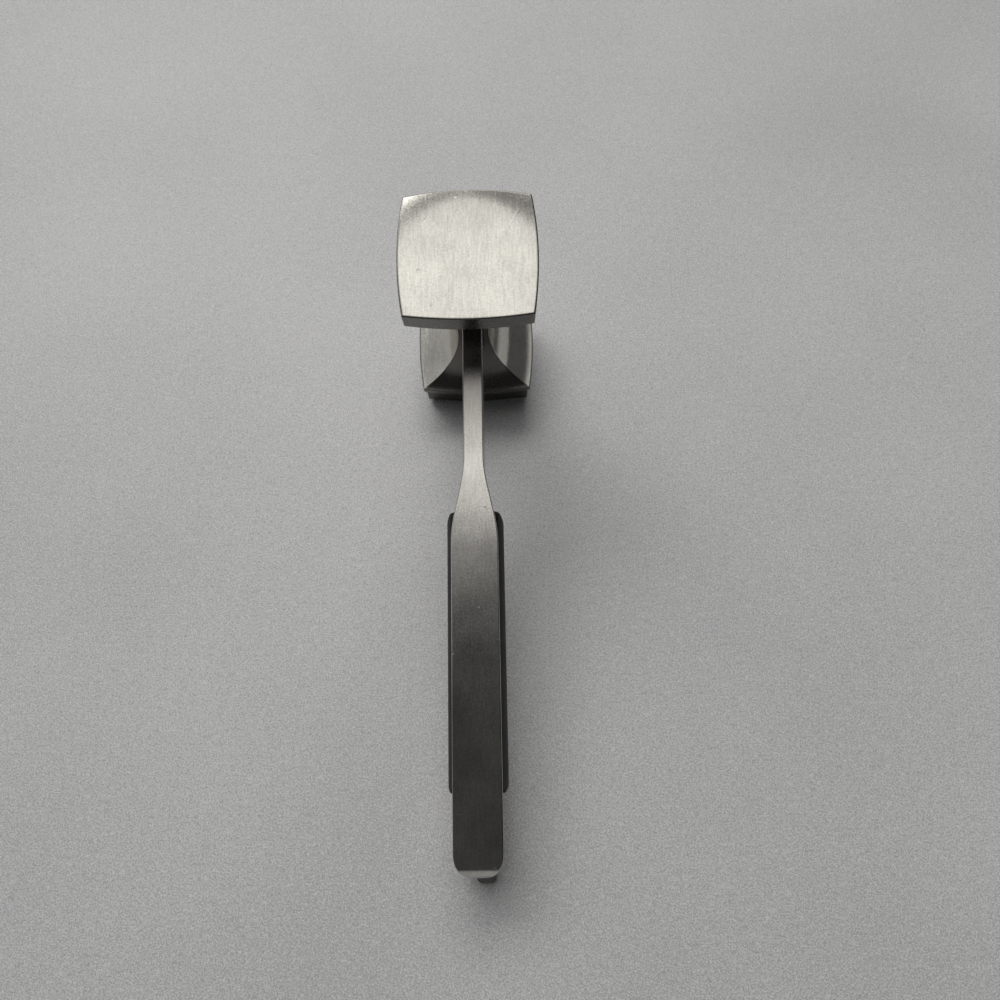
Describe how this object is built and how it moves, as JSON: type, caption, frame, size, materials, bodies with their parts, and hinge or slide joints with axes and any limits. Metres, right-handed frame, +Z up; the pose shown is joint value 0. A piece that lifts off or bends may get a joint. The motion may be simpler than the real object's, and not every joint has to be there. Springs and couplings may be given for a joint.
{
  "type": "meat mallet",
  "caption": "Hand mallet for tenderising meat, with a smooth face, a toothed face, a flat metal handle with soft grip pads and a hanging loop.",
  "frame": {"origin": "middle of the mallet's box in plan, on the surface it lies on", "axes": "+Z up from the surface, +Y along the handle towards the head, +X to the right seen from above with the head away; the head leans back about 11 degrees, so that its teeth and the handle's tab touch the surface"},
  "size_m": [0.051, 0.2476, 0.0977],
  "materials": {
    "head_metal": "cast, satin brushed along the handle's direction",
    "tooth_metal": "cast and cut teeth, satin",
    "handle_metal": "cast, satin, finely speckled",
    "pin_steel": "plain drawn pin",
    "grip_rubber": "matt black soft grip"
  },
  "bodies": {
    "root": {"head_body": "head_metal", "tooth_plate": "tooth_metal", "handle_frame": "handle_metal", "head_pin": "pin_steel", "grip_left": "grip_rubber", "grip_right": "grip_rubber", "grip_dowel_front": "pin_steel", "grip_dowel_middle": "pin_steel", "grip_dowel_rear": "pin_steel"}
  },
  "joints": []
}
